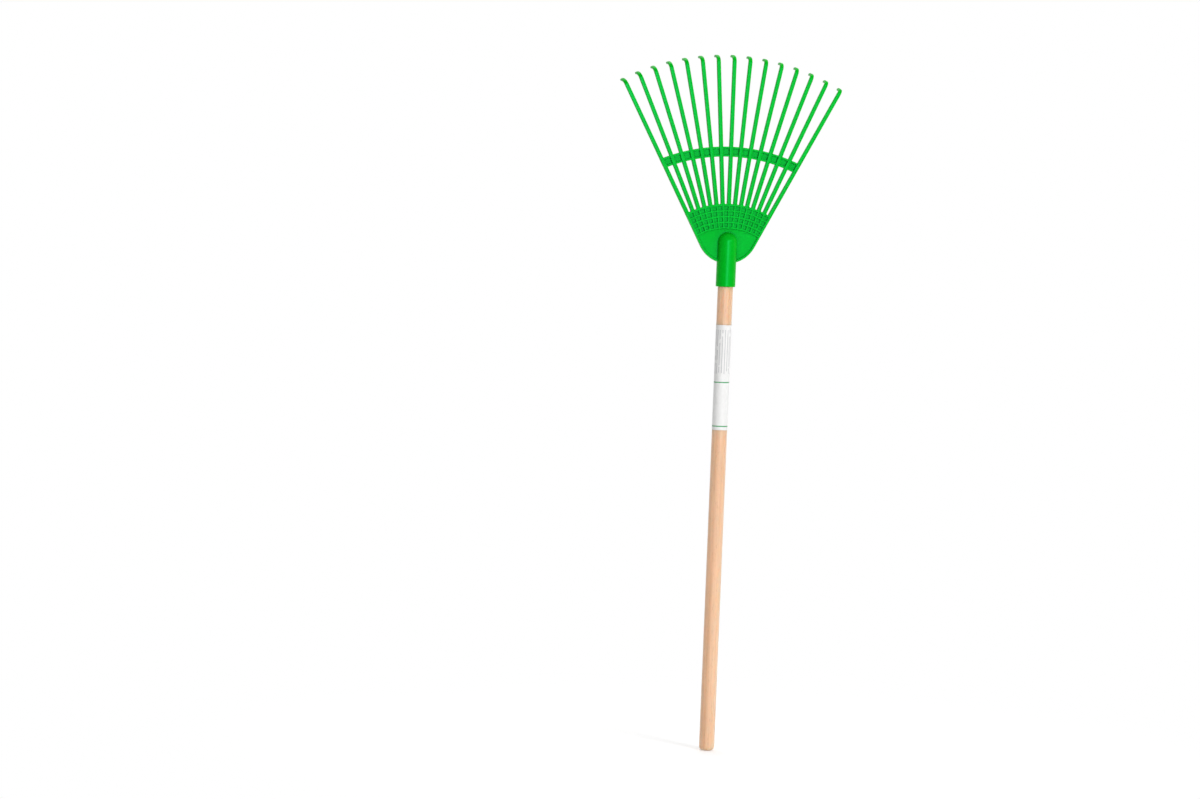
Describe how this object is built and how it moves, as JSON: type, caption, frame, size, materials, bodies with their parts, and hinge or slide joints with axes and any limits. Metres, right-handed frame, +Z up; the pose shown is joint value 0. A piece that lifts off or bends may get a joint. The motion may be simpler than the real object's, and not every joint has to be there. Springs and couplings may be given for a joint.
{
  "type": "fan rake",
  "caption": "Child's fan rake: a one-piece plastic fan head of hooked tapering tines tied by a crossbar, on a round wooden handle with a paper label.",
  "frame": {"origin": "middle of the flat butt face at the bottom of the handle", "axes": "+Z up the handle towards the tine tips, front of the head towards -Y, hooks bent back towards +Y, +X across the fan"},
  "size_m": [0.239, 0.0234, 0.73],
  "materials": {
    "handle_wood": "smooth turned hardwood, clear satin coat",
    "label_paper": "plain white paper, lightly coated",
    "head_plastic": "bright green moulded plastic, semi-gloss",
    "screw_steel": "zinc plated"
  },
  "bodies": {
    "root": {"handle": "handle_wood", "label": "label_paper", "socket": "head_plastic", "fixing_screw": "screw_steel", "fan_plate": "head_plastic", "crossbar": "head_plastic", "tine_01": "head_plastic", "tine_02": "head_plastic", "tine_03": "head_plastic", "tine_04": "head_plastic", "tine_05": "head_plastic", "tine_06": "head_plastic", "tine_07": "head_plastic", "tine_08": "head_plastic", "tine_09": "head_plastic", "tine_10": "head_plastic", "tine_11": "head_plastic", "tine_12": "head_plastic", "tine_13": "head_plastic", "tine_14": "head_plastic", "tine_15": "head_plastic"}
  },
  "joints": []
}
